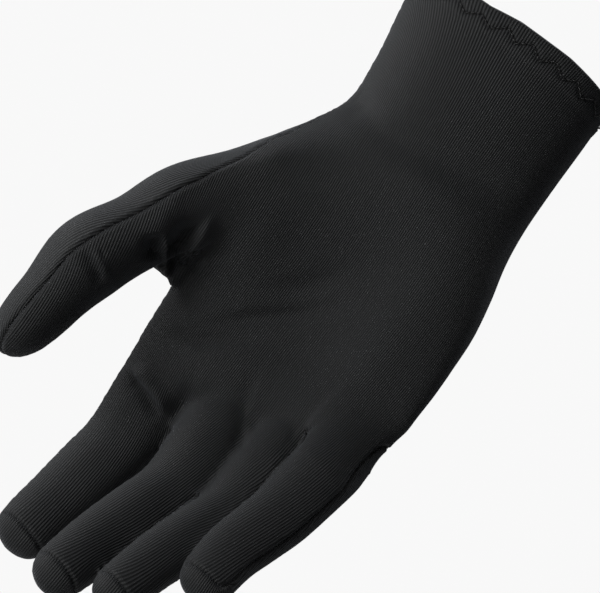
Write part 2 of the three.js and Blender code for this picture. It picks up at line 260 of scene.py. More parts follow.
def digitRings(digit, form):
    line, _ = digitLine(digit)
    shares = np.sin(np.linspace(0, math.pi / 2, formQuality["digitRings"])) ** 0.85
    spots = shares * (len(line) - 1)
    centres = np.stack([np.interp(spots, np.arange(len(line)), line[:, i]) for i in range(3)], 1)
    grad = unit(np.gradient(line, axis=0))
    ways = unit(np.stack([np.interp(spots, np.arange(len(line)), grad[:, i]) for i in range(3)], 1))
    values = smoothTable(form, shares)
    rings = []
    for centre, way, (wide, thick, rolled) in zip(centres, ways, values):
        side = unit(np.cross(way, [0, 1, 0]))
        turned = Matrix.Rotation(math.radians(digit["turn"] * rolled), 3, Vector(way))
        side = np.array(turned @ Vector(side))
        facing = unit(np.cross(way, side))
        w = max(0.2, wide * digit["scale"][1] * digit["size"]["width"] / 2)
        t = max(0.2, thick * digit["scale"][2] * digit["size"]["thickness"] / 2)
        rings.append(ringPoints(
            centre, side, facing, (w, w, t, t), formQuality["digitSides"], formQuality["digitSquare"],
        ))
    return rings


def webRings():
    rings = []
    at = np.linspace(webRows[0][0], webRows[-1][0], formQuality["webRings"])
    across, facing = np.array([1, 0, 0]), np.array([0, -1, 0])
    for along, v in zip(at, smoothTable(webRows, at)):
        wide, thick = v[2] * palm["width"] / 2, v[3] * palm["thickness"] / 2
        centre = inPalm(v[0], along, v[1])
        reach = (wide, wide, thick, thick)
        rings.append(ringPoints(centre, across, facing, reach, formQuality["webSides"], 1))
    return rings


def deselectAll():
    if bpy.context.object and bpy.context.object.mode != "OBJECT":
        bpy.ops.object.mode_set(mode="OBJECT")
    bpy.ops.object.select_all(action="DESELECT")


def makeActive(piece):
    deselectAll()
    piece.select_set(True)
    bpy.context.view_layer.objects.active = piece


# A closed limb: a filled circle, extruded from ring to ring.
def limbFrom(name, rings):
    deselectAll()
    sides = len(rings[0])
    bpy.ops.mesh.primitive_circle_add(vertices=sides, radius=0.01, fill_type="NGON", enter_editmode=True)
    limb = bpy.context.object
    limb.name = limb.data.name = name
    for number, ring in enumerate(rings):
        if number:
            bpy.ops.mesh.extrude_region_move(TRANSFORM_OT_translate={"value": (0, 0, 0.0001)})
        shape = bmesh.from_edit_mesh(limb.data)
        end = next(face for face in shape.faces if face.select)
        for corner, point in zip(end.verts, ring * mm):
            corner.co = point
        bmesh.update_edit_mesh(limb.data)
    bpy.ops.mesh.select_all(action="SELECT")
    bpy.ops.mesh.normals_make_consistent(inside=False)
    bpy.ops.object.mode_set(mode="OBJECT")
    return limb


def applyModifier(piece, kind, **settings):
    modifier = piece.modifiers.new(kind.lower(), kind)
    for key, value in settings.items():
        setattr(modifier, key, value)
    makeActive(piece)
    bpy.ops.object.modifier_apply(modifier=modifier.name)


# A new piece from points (mm) and faces.
def newPiece(name, spots, shape):
    mesh = bpy.data.meshes.new(name)
    mesh.from_pydata([tuple(p) for p in spots * mm], [], shape)
    piece = bpy.data.objects.new(name, mesh)
    bpy.context.scene.collection.objects.link(piece)
    return piece


def faceOutwards(piece):
    makeActive(piece)
    bpy.ops.object.mode_set(mode="EDIT")
    bpy.ops.mesh.select_all(action="SELECT")
    bpy.ops.mesh.normals_make_consistent(inside=False)
    bpy.ops.object.mode_set(mode="OBJECT")
    bpy.ops.object.shade_smooth()


# The knit's map: ribs counted along u, courses along v, and how far each point is from a seam.
def mapKnit(mesh, u, v, away):
    layer = mesh.uv_layers.new(name="knit")
    loops = np.zeros(len(mesh.loops), int)
    mesh.loops.foreach_get("vertex_index", loops)
    layer.data.foreach_set("uv", np.stack([u[loops], v[loops]], 1).astype(np.float32).ravel())
    mesh.attributes.new("seamAway", "FLOAT", "POINT").data.foreach_set("value", away.astype(np.float32))


limbs = [limbFrom("hand", handRings()), limbFrom("web", webRings())]
for name, digit in digits.items():
    limbs.append(limbFrom(name, digitRings(digit, thumbForm if name == "thumb" else fingerForm)))
deselectAll()
for limb in limbs:
    limb.select_set(True)
bpy.context.view_layer.objects.active = limbs[0]
bpy.ops.object.join()
form = bpy.context.object
form.name = form.data.name = "form"
applyModifier(
    form, "REMESH", mode="VOXEL", voxel_size=formQuality["voxel"] * mm, adaptivity=0, use_smooth_shade=True,
)
applyModifier(form, "SMOOTH", factor=0.5, iterations=formQuality["smooth"])
print("form:", len(form.data.vertices), "points")


# Helpers on plain arrays
def readMesh(mesh):
    points = np.zeros(len(mesh.vertices) * 3)
    mesh.vertices.foreach_get("co", points)
    faces = [tuple(p.vertices) for p in mesh.polygons]
    return points.reshape(-1, 3) / mm, faces


def edgesOf(faces):
    pairs = np.array([(f[i], f[(i + 1) % len(f)]) for f in faces for i in range(len(f))])
    pairs.sort(axis=1)
    return np.unique(pairs, axis=0)


def spread(values, edges, times, keep=0.5):
    count = len(values)
    a, b = edges[:, 0], edges[:, 1]
    degree = np.maximum(np.bincount(a, minlength=count) + np.bincount(b, minlength=count), 1)
    for _ in range(times):
        if values.ndim == 1:
            total = np.bincount(a, values[b], count) + np.bincount(b, values[a], count)
            values = keep * values + (1 - keep) * total / degree
        else:
            total = np.stack([
                np.bincount(a, values[b, i], count) + np.bincount(b, values[a, i], count)
                for i in range(values.shape[1])
            ], 1)
            values = keep * values + (1 - keep) * total / degree[:, None]
    return values


def trianglesOf(faces):
    return np.array([(f[0], f[i], f[i + 1]) for f in faces for i in range(1, len(f) - 1)])


def pointNormals(points, faces):
    tri = trianglesOf(faces)
    cross = np.cross(points[tri[:, 1]] - points[tri[:, 0]], points[tri[:, 2]] - points[tri[:, 0]])
    normal = np.stack([
        sum(np.bincount(tri[:, k], cross[:, i], len(points)) for k in range(3)) for i in range(3)
    ], 1)
    return unit(normal)


def smoothStep(x, low, high):
    t = np.clip((x - low) / (high - low), 0, 1)
    return t * t * (3 - 2 * t)


# Distance of points to a line of points, where along it (0 to 1) the nearest spot is, and
# whether they lie left of it when one follows it.
def toLine(points, line):
    line = np.array(line, float)
    run = np.concatenate([[0], np.cumsum(np.linalg.norm(np.diff(line, axis=0), axis=1))])
    best, where, left = np.full(len(points), 1e9), np.zeros(len(points)), np.zeros(len(points), bool)
    for i in range(len(line) - 1):
        way = line[i + 1] - line[i]
        t = np.clip(((points - line[i]) @ way) / (way @ way), 0, 1)
        gap = np.linalg.norm(points - line[i] - t[:, None] * way, axis=1)
        nearer = gap < best
        best[nearer] = gap[nearer]
        where[nearer] = (run[i] + t[nearer] * (run[i + 1] - run[i])) / run[-1]
        beside = (points[:, 0] - line[i, 0]) * way[1] - (points[:, 1] - line[i, 1]) * way[0]
        left[nearer] = beside[nearer] < 0
    return best, where, left


# Folds of the cloth, as seen from the palm side. Columns: height out of the cloth (minus for a
# crease), width left and right of the line when one follows it, the share of the line over which
# it fades in and out, and the line itself in the hand's own plane. Lengths in millimetres.
foldRows = [
    # the palm's edge hangs over the hollow between thumb and index
    (
        1.9, 5.5, 1.1, 0.3, 0.2,
        [(-42.5, -107), (-43, -113.8), (-42.2, -118), (-41.8, -123),
         (-41.4, -128), (-40.6, -133), (-39, -138)],
    ),
    (
        -3.6, 1.4, 4.4, 0.35, 0.3,
        [(-44.4, -112), (-44.6, -118), (-44.6, -124), (-43.2, -130), (-42, -134)],
    ),
    (
        -0.9, 1.6, 1.2, 0.4, 0.3,
        [(-38.4, -114), (-37.3, -121.7), (-37.3, -126.8), (-37.4, -132), (-37.3, -138)],
    ),
    # a thin fold stands up in the hollow, with a pit on its other side too
    (
        2.2, 1.0, 1.0, 0.4, 0.3,
        [(-51.8, -122), (-48.9, -126), (-46.4, -129), (-44.1, -131.5), (-41.8, -134.5)],
    ),
    (-3.0, 1.6, 3.4, 0.4, 0.3, [(-54, -124.5), (-51.2, -128.6), (-48.2, -132.2)]),
    # the thumb's joint
    (
        -1.1, 1.2, 2.6, 0.4, 0.3,
        [(-70.6, -144.2), (-66.9, -144.9), (-63.9, -145.5), (-61, -146.8), (-56.5, -149.2)],
    ),
    (0.7, 1.3, 1.3, 0.4, 0.3, [(-67.8, -141.7), (-64.1, -142.8), (-60.5, -144.3), (-57, -146)]),
    (-0.5, 0.9, 1.1, 0.5, 0.4, [(-66.5, -139.6), (-64.3, -140.7), (-61.6, -141.6)]),
    # soft creases across the palm
    (-1.6, 2.4, 4, 0.4, 0.5, [(-27, -143), (-23, -140), (-14.7, -129.6), (0, -116.4), (12.4, -100)]),
    (-1.4, 2, 3.5, 0.4, 0.5, [(-34, -148), (-28, -146.5), (-20.5, -143.7), (-1, -125.6)]),
    (-1.0, 4, 4, 0.5, 0.5, [(-17, -121), (-2, -106), (6, -92)]),
    # the valleys between the fingers' roots
    (-0.9, 1.6, 3.5, 0.6, 0.1, [(0, -134), (1.2, -143.6), (3.4, -150.2), (7, -155.8), (11.4, -164.1)]),
    (
        -0.9, 1.6, 3.5, 0.7, 0.1,
        [(25.5, -118), (23.9, -130.8), (23.3, -138), (23.1, -143.2), (25.3, -149.8), (25.9, -158.6)],
    ),
    (-0.5, 1.6, 3, 0.6, 0.1, [(-17, -150), (-13.5, -158), (-12.5, -166), (-13.5, -173)]),
    # the index's crease under the palm's edge
    (
        1.3, 3.2, 0.9, 0.3, 0.3,
        [(-34, -163.5), (-31.6, -165.2), (-25.6, -166), (-20.4, -167.4), (-15, -169.6)],
    ),
    (
        -2.0, 0.9, 3.2, 0.3, 0.3,
        [(-34, -165.5), (-31.6, -166.9), (-25.6, -167.7), (-20.4, -169.1), (-14, -172)],
    ),
    # soft folds of the wrist
    (
        -1.2, 4, 5, 0.15, 0.3,
        [(-34, -43), (-27.6, -48.8), (-18, -52.5), (-8.5, -52), (2, -49), (18, -44), (36, -38)],
    ),
    (0.6, 5, 6, 0.4, 0.4, [(-22, -58), (-8, -60), (12, -57), (34, -50)]),
    (-0.7, 3, 3, 0.4, 0.4, [(-29, -44), (-27, -51), (-30, -58)]),
]
# Broad rises and dips of the palm: place, height and reach to the side and along.
reliefs = [
    {"at": (28, -114), "height": 3.8, "reach": (12, 34)},
    {"at": (2, -112), "height": -1.6, "reach": (14, 30)},
    {"at": (-27, -107), "height": 1.7, "reach": (10, 22)},
]
# The thumb's base flows into the palm along this line: how far to each side, and how much.
thenarBlend = {
    "line": [(-31, -57), (-17, -66), (-13, -82), (-22, -99), (-34, -112)],
    "reach": (13, 24), "times": 220, "free": False,
}
# The little finger's root flows into the palm, and its outline into the palm's edge.
rootBlend = {"line": [(27, -137), (38, -137), (51, -136)], "reach": (5, 14), "times": 140, "free": False}
edgeBlend = {"line": [(43, -126), (50, -135), (46, -146)], "reach": (2, 8), "times": 60, "free": True}
# Where the form is cut finer: how near the seam, down to where on the cuff, how near a narrow fold
# (mm), and which folds are narrow.
closeWork = {"seam": 1.5, "cuff": -11, "aboveCuff": 1, "fold": 5, "narrow": 2}
# No blend reaches the cuff's hem, above this height (mm).
blendTop = -14


# Cuts a line's corners off.
def rounded(line, times=3):
    line = np.array(line, float)
    for _ in range(times):
        a, b = line[:-1], line[1:]
        cut = np.stack([a * 0.75 + b * 0.25, a * 0.25 + b * 0.75], 1).reshape(-1, 2)
        line = np.vstack([line[:1], cut, line[-1:]])
    return line


def foldCloth(points, normals):
    seen = apparent(points)
    facing = smoothStep(-(normals @ eye["ahead"]), 0.0, 0.4)
    shift = np.zeros(len(points))
    for height, widthLeft, widthRight, first, last, line in foldRows:
        gap, where, left = toLine(seen, rounded(line))
        ends = smoothStep(where, -0.02, max(0.02, first)) * smoothStep(1 - where, -0.02, max(0.02, last))
        width = np.where(left, widthLeft, widthRight)
        shift += height * ends * np.exp(-((gap / width) ** 2))
    for relief in reliefs:
        off = (seen - np.array(relief["at"])) / np.array(relief["reach"])
        shift += relief["height"] * np.exp(-(off**2).sum(1))
    return points + normals * (shift * facing)[:, None]


# Evens out the form near a line; unless free, without moving its outline.
def blendForm(points, edges, normals, blend):
    gap, _, _ = toLine(apparent(points), blend["line"])
    weight = 1 - smoothStep(gap, *blend["reach"])
    if not blend["free"]:
        weight = weight * smoothStep(-(normals @ eye["ahead"]), 0.15, 0.5)
    weight[points[:, 2] > blendTop] = 0
    near = weight > 0.001
    renumber = np.cumsum(near) - 1
    own = renumber[edges[near[edges].all(1)]]
    share, local = weight[near][:, None], points[near]
    for _ in range(blend["times"]):
        local = local + (spread(local, own, 1, 0.3) - local) * share
    points = points.copy()
    points[near] = local
    return points


# Cuts the faces marked into four.
def refine(piece, wanted):
    makeActive(piece)
    bpy.ops.object.mode_set(mode="EDIT")
    bpy.ops.mesh.select_mode(type="FACE")
    bpy.ops.mesh.select_all(action="DESELECT")
    bpy.ops.object.mode_set(mode="OBJECT")
    piece.data.polygons.foreach_set("select", wanted)
    bpy.ops.object.mode_set(mode="EDIT")
    bpy.ops.mesh.subdivide(number_cuts=1, smoothness=0, ngon=True)
    bpy.ops.object.mode_set(mode="OBJECT")


def nodeTree(name):
    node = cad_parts[name]
    spots = [v.co / mm for v in node.data.vertices]
    return BVHTree.FromPolygons(spots, [tuple(p.vertices) for p in node.data.polygons])


# How much nearer each point lies to the palm's panel than to the back's: minus on the palm side.
palmTree, backTree = nodeTree("palm_panel"), nodeTree("back_panel")


def sideOf(spots):
    return np.array([palmTree.find_nearest(p)[3] - backTree.find_nearest(p)[3] for p in spots])


def writePoints(mesh, points):
    mesh.vertices.foreach_set("co", (points * mm).ravel())
    mesh.update()


points, faces = readMesh(form.data)
edges = edgesOf(faces)
for blend in (thenarBlend, rootBlend, edgeBlend):
    points = blendForm(points, edges, pointNormals(points, faces), blend)
writePoints(form.data, points)
middles = np.array([points[list(f)].mean(0) for f in faces])
closeUp = np.abs(sideOf(middles)) < closeWork["seam"]
closeUp |= (middles[:, 2] > closeWork["cuff"]) & (middles[:, 2] < closeWork["aboveCuff"])
for _, widthLeft, widthRight, _, _, line in foldRows:
    if min(widthLeft, widthRight) < closeWork["narrow"]:
        beside = toLine(apparent(middles), line)[0] < closeWork["fold"]
        closeUp |= beside & (middles[:, 1] < closeWork["fold"])
refine(form, closeUp)
points, faces = readMesh(form.data)
edges = edgesOf(faces)
points = spread(points, edges, 1, 0.5)
points = foldCloth(points, pointNormals(points, faces))
print("folds:", len(foldRows), "points:", len(points))


# Cutting the skin into its panels
# The seam's groove and the raised edges beside it (mm), the pucker that lifts them (how much, how
# long, from where), the share of an edge within which a point snaps to the line, the rounds that
# even the line, the step along it, the shortest seam that is sewn and what counts as far (mm).
seams = {
    "press": 0.6, "pressWidth": 0.65, "edge": 0.16, "edgePlace": 1.4, "edgeWidth": 0.7,
    "pucker": [(0.35, 4.7, 0), (0.25, 2.9, 1)], "snap": 0.32, "even": 8, "straighten": 14,
    "step": 0.35, "shortest": 20, "far": 12,
}

side = spread(sideOf(points), edges, seams["even"])
skinTree = BVHTree.FromPolygons([Vector(p) for p in points], faces)

# Points close to the line move onto it.
a, b = edges[:, 0], edges[:, 1]
crossing = side[a] * side[b] < 0
ca, cb = a[crossing], b[crossing]
t = side[ca] / (side[ca] - side[cb])
spot = points[ca] + t[:, None] * (points[cb] - points[ca])
near = {}
for va, vb, share, place in zip(ca, cb, t, spot):
    for v, d in ((va, share), (vb, 1 - share)):
        if d < seams["snap"] and d < near.get(v, (9, None))[0]:
            near[v] = (d, place)
for v, (_, place) in near.items():
    points[v] = place
    side[v] = 0

cutAt = {}
newPoints = list(points)


def cutEdge(i, j):
    key = (min(i, j), max(i, j))
    if key not in cutAt:
        share = side[i] / (side[i] - side[j])
        cutAt[key] = len(newPoints)
        newPoints.append(points[i] + share * (points[j] - points[i]))
    return cutAt[key]


panelFaces = {"palm": [], "back": []}
for f in faces:
    values = side[list(f)]
    if (values <= 0).all():
        panelFaces["palm" if values.min() < 0 else "back"].append(f)
        continue
    if (values >= 0).all():
        panelFaces["back"].append(f)
        continue
    parts = {"palm": [], "back": []}
    for k, i in enumerate(f):
        j = f[(k + 1) % len(f)]
        if side[i] <= 0:
            parts["palm"].append(i)
        if side[i] >= 0:
            parts["back"].append(i)
        if side[i] * side[j] < 0:
            cut = cutEdge(i, j)
            parts["palm"].append(cut)
            parts["back"].append(cut)
    for name, part in parts.items():
        if len(part) >= 3:
            panelFaces[name].append(tuple(part))
points = np.array(newPoints)


# Keeps the largest connected patch of a panel; crumbs go to the other panel.
def largestPatch(faceList, count):
    label = np.arange(count)
    pairs = edgesOf(faceList)
    while True:
        low = np.minimum(label[pairs[:, 0]], label[pairs[:, 1]])
        before = label.copy()
        np.minimum.at(label, pairs[:, 0], low)
        np.minimum.at(label, pairs[:, 1], low)
        label = label[label]
        if (before == label).all():
            break
    ids = label[[f[0] for f in faceList]]
    main = np.bincount(ids).argmax()
    return [f for f, i in zip(faceList, ids) if i == main], [f for f, i in zip(faceList, ids) if i != main]


palmMain, palmCrumbs = largestPatch(panelFaces["palm"], len(points))
backMain, backCrumbs = largestPatch(panelFaces["back"], len(points))
panelFaces = {"palm": palmMain + backCrumbs, "back": backMain + palmCrumbs}
print("crumbs:", len(palmCrumbs), len(backCrumbs))


# The seam line runs where the two panels share edges.
def edgeSet(faceList):
    pairs = ((f[i], f[(i + 1) % len(f)]) for f in faceList for i in range(len(f)))
    return {(min(pair), max(pair)) for pair in pairs}


seamEdges = np.array(sorted(edgeSet(panelFaces["palm"]) & edgeSet(panelFaces["back"])))
onSeam = np.unique(seamEdges)
for _ in range(seams["straighten"]):
    moved = spread(points, seamEdges, 1, 0.5)
    points[onSeam] = moved[onSeam]
for i in onSeam:
    points[i] = np.array(skinTree.find_nearest(Vector(points[i]))[0])


# The seam as chains of points in order.
def chainsOf(pairs):
    links = {}
    for i, j in pairs:
        links.setdefault(int(i), []).append(int(j))
        links.setdefault(int(j), []).append(int(i))
    left = {(min(i, j), max(i, j)) for i, j in pairs.tolist()}
    starts = [v for v, n in links.items() if len(n) != 2] or [int(pairs[0][0])]
    chains = []

    def follow(v, w):
        chain = [v, w]
        left.discard((min(v, w), max(v, w)))
        while len(links[w]) == 2:
            n = links[w][0] if links[w][0] != v else links[w][1]
            if (min(w, n), max(w, n)) not in left:
                break
            left.discard((min(w, n), max(w, n)))
            chain.append(n)
            v, w = w, n
        return chain

    for v in starts:
        for w in links[v]:
            if (min(v, w), max(v, w)) in left:
                chains.append(follow(v, w))
    while left:
        v, w = next(iter(sorted(left)))
        chains.append(follow(v, w))
    return chains


chains = [c for c in chainsOf(seamEdges) if len(c) > 8]
allNormals = pointNormals(points, panelFaces["palm"] + panelFaces["back"])


# Even samples of each chain, with the way it runs, the cloth's normal and the run so far.
def evenChain(chain, step):
    line, normal = points[chain], allNormals[chain]
    run = np.concatenate([[0], np.cumsum(np.linalg.norm(np.diff(line, axis=0), axis=1))])
    at = np.arange(step / 2, run[-1], step)
    put = lambda v: np.stack([np.interp(at, run, v[:, i]) for i in range(3)], 1)
    place = put(line)
    return place, unit(np.gradient(place, axis=0)), unit(put(normal)), at


chains = [c for c in chains if np.linalg.norm(np.diff(points[c], axis=0), axis=1).sum() > seams["shortest"]]
seamRuns = [evenChain(c, seams["step"]) for c in chains]
print("seam chains:", [round(float(r[3][-1])) for r in seamRuns])
seamSpots = np.vstack([r[0] for r in seamRuns])
seamAlong = np.concatenate([r[3] + 1000 * i for i, r in enumerate(seamRuns)])


def nearSeam(spots):
    tree = KDTree(len(seamSpots))
    for i, p in enumerate(seamSpots):
        tree.insert(p, i)
    tree.balance()
    found = [tree.find(p) for p in spots]
    return np.array([f[2] for f in found]), seamAlong[[f[1] for f in found]]


seamGap, seamRun = nearSeam(points)
pucker = 0.75
for much, long, shift in seams["pucker"]:
    pucker = pucker + much * np.sin(seamRun * 2 * math.pi / long + shift)
press = -seams["press"] * np.exp(-((seamGap / seams["pressWidth"]) ** 2))
rim = seams["edge"] * pucker * np.exp(-(((seamGap - seams["edgePlace"]) / seams["edgeWidth"]) ** 2))
points = points + allNormals * (press + rim)[:, None]

# The cuff is a little fuller over its turned-in hem, whose lower end shows as a soft step (mm).
hem = {"depth": 9.0, "roll": 1.1, "swell": 0.35, "step": 1.2, "takenAt": -3.0, "courses": 2.2}
bandEnd = smoothStep(points[:, 2], -hem["depth"] - hem["step"], -hem["depth"] + hem["step"])
level = unit(allNormals * np.array([1, 1, 0]))
points = points + level * (hem["swell"] * bandEnd)[:, None]
print("panels:", len(panelFaces["palm"]), len(panelFaces["back"]), "faces")


# The hem's zigzag (mm): how far below the edge it runs, its swing to each side, its length along,
# stitches on each leg, its thread, and the groove that the thread draws into the cloth.
zigzag = {
    "middle": 5.7, "swing": 1.55, "period": 9.8, "perLeg": 3, "thick": 0.34, "rise": 0.1, "sink": 0.24,
    "groove": 0.42, "grooveWidth": 0.8,
}


outerTree = BVHTree.FromPolygons([Vector(p) for p in points], panelFaces["palm"] + panelFaces["back"])


# A ring on the skin at this height, moved in.
def cuffRing(z, inward, sides=180):
    ring = []
    for k in range(sides):
        angle = k / sides * 2 * math.pi
        way = Vector((math.cos(angle), math.sin(angle), 0))
        hit = outerTree.ray_cast(Vector((0, 0, z)) + way * 200, -way)
        ring.append(np.array(hit[0] if hit[0] is not None else way * 40))
    ring = np.array(ring)
    ring[:, 2] = z
    tangent = unit(np.roll(ring, -1, 0) - np.roll(ring, 1, 0))
    outwards = np.cross(tangent, [0, 0, 1])
    return ring - outwards * inward


fine = cuffRing(-zigzag["middle"], 0, 720)
closed = np.vstack([fine, fine[:1]])
run = np.concatenate([[0], np.cumsum(np.linalg.norm(np.diff(closed, axis=0), axis=1))])
legs = 2 * round(run[-1] / zigzag["period"])
knots = []
for leg in range(legs):
    for k in range(zigzag["perLeg"]):
        share = k / zigzag["perLeg"]
        swing = (1 - 2 * share) * (1 if leg % 2 == 0 else -1)
        knots.append(((leg + share) / legs * run[-1], -zigzag["middle"] + swing * zigzag["swing"]))
needles, needleUps = [], []
for at, z in knots:
    p = np.array([np.interp(at, run, closed[:, i]) for i in range(2)] + [z])
    out = Vector((p[0], p[1], 0)).normalized()
    hit = outerTree.ray_cast(Vector((0, 0, z)) + out * 200, -out)
    needles.append(np.array(hit[0]))
    needleUps.append(np.array(hit[1]))
needles, needleUps = np.array(needles), np.array(needleUps)

# The thread draws the cloth in along the zigzag.
zigzagGap = np.full(len(points), 12.0)
band = np.where((points[:, 2] > -hem["depth"] - 1) & (points[:, 2] < -1.5))[0]
for a, b in zip(needles, np.roll(needles, -1, 0)):
    t = np.clip(((points[band] - a) @ (b - a)) / ((b - a) @ (b - a)), 0, 1)
    apart = np.linalg.norm(points[band] - a - t[:, None] * (b - a), axis=1)
    zigzagGap[band] = np.minimum(zigzagGap[band], apart)
drawn = zigzag["groove"] * np.exp(-((zigzagGap / zigzag["grooveWidth"]) ** 2))
points = points - allNormals * drawn[:, None]

# The knit's own directions
# Lean of the ribs in degrees at places on the palm side (X, Z, lean), and how wide a rib is.
ribLeans = [
    (-4, -14, -11), (24, -13, -9), (-30, -30, -10), (-2, -50, -6), (39, -59, -3),
    (-36, -97, -10), (-30, -70, -9), (-46, -112, -18), (-62, -117, -38), (-66, -150, -38),
    (-70, -185, -34), (-3, -113, 2), (12, -131, 3), (19, -117, 6), (26, -133, 8),
    (-20, -140, -2), (-24, -176, -20), (-25, -189, -9), (-23, -200, 2), (-30, -225, 5),
    (1, -177, 17), (-9, -225, 19), (16, -169, 21), (7, -219, 25), (28, -152, 9),
    (28, -190, 16),
]
# Widths of ribs and courses (mm), how far beside a digit's line its cloth lies (of its width), and
# over which share of it the ribs widen and turn round the tip.
ribs = {
    "palmPitch": 0.68, "fingerPitch": 0.88, "course": 0.55,
    "beside": 0.75, "widen": (0.15, 0.4), "tip": (0.88, 0.97),
}


def ribLeanAt(spots):
    table = np.array(ribLeans, float)
    flat = spots[:, [0, 2]]
    gap = np.linalg.norm(flat[:, None] - table[None, :, :2], axis=2)
    weight = 1 / (gap + 3) ** 3
    return (weight * table[None, :, 2]).sum(1) / weight.sum(1)


lines = {name: digitLine(d)[0] for name, d in digits.items()}


# Solves for a value over the panel whose slope follows the wanted one, by conjugate gradients.
def followSlope(spots, tri, wanted, start, rounds=500):
    count = len(spots)
    e = [spots[tri[:, (k + 2) % 3]] - spots[tri[:, (k + 1) % 3]] for k in range(3)]
    normal = np.cross(e[2], -e[1])
    double = np.maximum(np.linalg.norm(normal, axis=1), 1e-9)
    normal = normal / double[:, None]
    slopes = [np.cross(normal, e[k]) / double[:, None] for k in range(3)]
    area = double / 2

    def scatter(field):
        return sum(np.bincount(tri[:, k], area * (slopes[k] * field).sum(1), count) for k in range(3))

    def gradient(u):
        return sum(slopes[k] * u[tri[:, k]][:, None] for k in range(3))

    diagonal = sum(np.bincount(tri[:, k], area * (slopes[k] ** 2).sum(1), count) for k in range(3)) + 1e-9
    goal = scatter(wanted)
    u = start.copy()
    r = goal - scatter(gradient(u))
    z = r / diagonal
    p, rz = z.copy(), r @ z
    first = rz
    for _ in range(rounds):
        q = scatter(gradient(p))
        step = rz / max(p @ q, 1e-30)
        u += step * p
        r -= step * q
        z = r / diagonal
        new = r @ z
        if new < first * 1e-9:
            break
        p = z + (new / rz) * p
        rz = new
    return u


def ribMap(spots, faceList, isPalm):
    tri = trianglesOf(faceList)
    middle = spots[tri].mean(1)
    normal = unit(np.cross(spots[tri[:, 1]] - spots[tri[:, 0]], spots[tri[:, 2]] - spots[tri[:, 0]]))
    lean = np.radians(ribLeanAt(middle))
    down = np.stack([-np.sin(lean), np.zeros(len(lean)), -np.cos(lean)], 1)
    across = unit(np.cross(normal, down))
    pitch = np.full(len(tri), ribs["palmPitch"])
    for name, line in lines.items():
        thinned = line[::8]
        gap = np.linalg.norm(middle[:, None] - thinned[None], axis=2)
        share = gap.argmin(1) / (len(thinned) - 1)
        inside = gap.min(1) < digits[name]["size"]["width"] * ribs["beside"]
        if name != "thumb":
            grown = smoothStep(share, *ribs["widen"]) * inside
            narrower = pitch < ribs["fingerPitch"] - 0.02
            pitch = pitch + (ribs["fingerPitch"] - ribs["palmPitch"]) * grown * narrower
            if not isPalm:
                cap = (smoothStep(share, *ribs["tip"]) * inside)[:, None]
                sideways = np.array([-1.0, 0, 0]) - normal * (normal @ np.array([-1.0, 0, 0]))[:, None]
                across = unit(across * (1 - cap) + unit(sideways) * cap)
    courses = np.cross(across, normal)
    guess = spots[:, 0] * (1 if isPalm else -1)
    u = followSlope(spots, tri, across / pitch[:, None], guess / ribs["palmPitch"])
    v = followSlope(spots, tri, courses / ribs["course"], -spots[:, 2] / ribs["course"])
    return u, v


# The panels
cloth = {"thickness": 0.62}


def panelFrom(name, faceList, isPalm):
    used = np.unique([i for f in faceList for i in f])
    renumber = -np.ones(len(points), int)
    renumber[used] = np.arange(len(used))
    spots = points[used].copy()
    own = [tuple(int(renumber[i]) for i in f) for f in faceList]
    u, v = ribMap(spots, own, isPalm)
    away = np.minimum(seamGap, zigzagGap)[used]
    piece = newPiece(name, spots, own)
    mesh = piece.data
    mapKnit(mesh, u, v, np.minimum(away, seams["far"]))
    makeActive(piece)
    bpy.ops.object.mode_set(mode="EDIT")
    bpy.ops.mesh.select_all(action="SELECT")
    bpy.ops.mesh.bisect(plane_co=(0, 0, -0.0002), plane_no=(0, 0, 1), clear_outer=True, use_fill=False)
    bpy.ops.object.mode_set(mode="OBJECT")
    # the top edge rolls inwards
    spots, _ = readMesh(mesh)
    top = np.clip(spots[:, 2] + hem["roll"], 0, hem["roll"])
    inward = hem["roll"] - np.sqrt(np.maximum(hem["roll"] ** 2 - top**2, 0))
    flat = spots * np.array([1, 1, 0])
    spots -= unit(flat) * inward[:, None]
    mesh.vertices.foreach_set("co", (spots * mm).ravel())
    mesh.update()
    applyModifier(piece, "SOLIDIFY", thickness=cloth["thickness"] * mm, offset=-1, use_even_offset=False)
    makeActive(piece)
    bpy.ops.object.shade_smooth()
    return piece


palmSkin = panelFrom("palm_skin", panelFaces["palm"], True)
backSkin = panelFrom("back_skin", panelFaces["back"], False)
bpy.data.objects.remove(form)
print("skins:", len(palmSkin.data.polygons), len(backSkin.data.polygons), "faces")


# The turned-in hem
# The hem's section: height and how far inside the skin (mm), round its rolled edge and its layers.
hemProfile = [
    (-0.35, 0.95), (-0.12, 1.3), (-0.3, 1.7), (-0.9, 1.8), (-2.5, 1.45), (-5.0, 1.4), (-7.5, 1.45),
    (-8.8, 1.5), (-9.1, 1.2), (-8.8, 0.95), (-6.0, 0.8), (-2.5, 0.8), (-0.9, 0.85),
]
skinRing = cuffRing(hem["takenAt"], 0)
rings = [cuffRing(min(z, hem["takenAt"]), inward) for z, inward in hemProfile]
for ring, (z, _) in zip(rings, hemProfile):
    ring[:, 2] = z
sides = len(rings[0])
hemPoints = np.vstack(rings)
count = len(rings)
hemFaces = [
    (
        r * sides + k, r * sides + (k + 1) % sides,
        ((r + 1) % count) * sides + (k + 1) % sides, ((r + 1) % count) * sides + k,
    )
    for r in range(count) for k in range(sides)
]
hemBand = newPiece("hem_band", hemPoints, hemFaces)
around = np.linalg.norm(np.diff(np.vstack([skinRing, skinRing[:1]]), axis=0), axis=1)
run = np.concatenate([[0], np.cumsum(around)])[:-1]
uRing = np.tile(run, count) / ribs["palmPitch"]
vRing = np.repeat(np.arange(count), sides) * hem["courses"]
mapKnit(hemBand.data, uRing, vRing, np.full(len(hemPoints), seams["far"]))
faceOutwards(hemBand)
print("hem:", len(hemBand.data.polygons), "faces")


